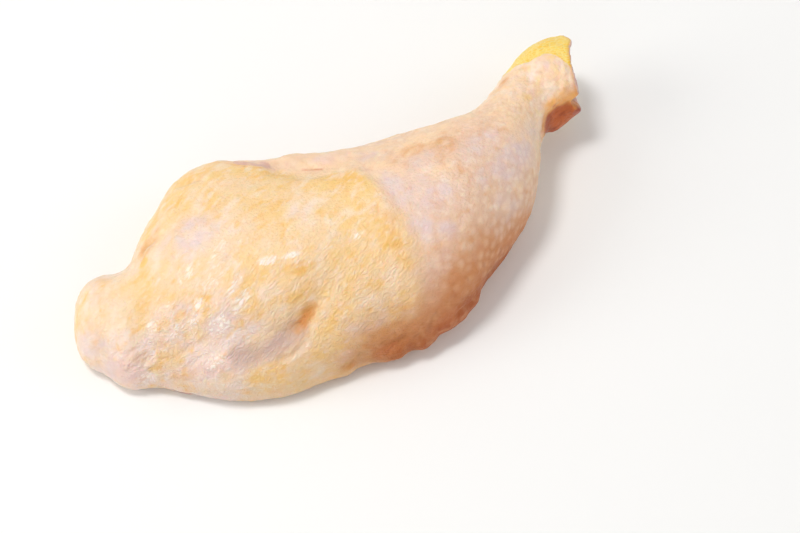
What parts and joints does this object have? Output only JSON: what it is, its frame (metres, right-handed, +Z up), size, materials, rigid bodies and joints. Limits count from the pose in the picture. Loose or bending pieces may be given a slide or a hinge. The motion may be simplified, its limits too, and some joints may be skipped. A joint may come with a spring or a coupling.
{
  "type": "raw chicken leg",
  "caption": "Raw whole chicken leg, thigh and drumstick joined, skin on, lying on its inner side with the cut shin bone showing at the hock.",
  "frame": {"origin": "middle of the footprint's box, on the surface that the leg lies on", "axes": "+X from the tail end of the thigh towards the hock, +Y away from the loose near edge of the thigh's skin, +Z up out of the shown skin side"},
  "size_m": [0.188, 0.145, 0.044],
  "materials": {
    "chicken_skin": "moist raw skin over yellow fat, satin with wet spots",
    "bone": "wet bone end with cartilage and red marrow"
  },
  "bodies": {
    "root": {"leg": "chicken_skin", "shin_bone": "bone"}
  },
  "joints": []
}
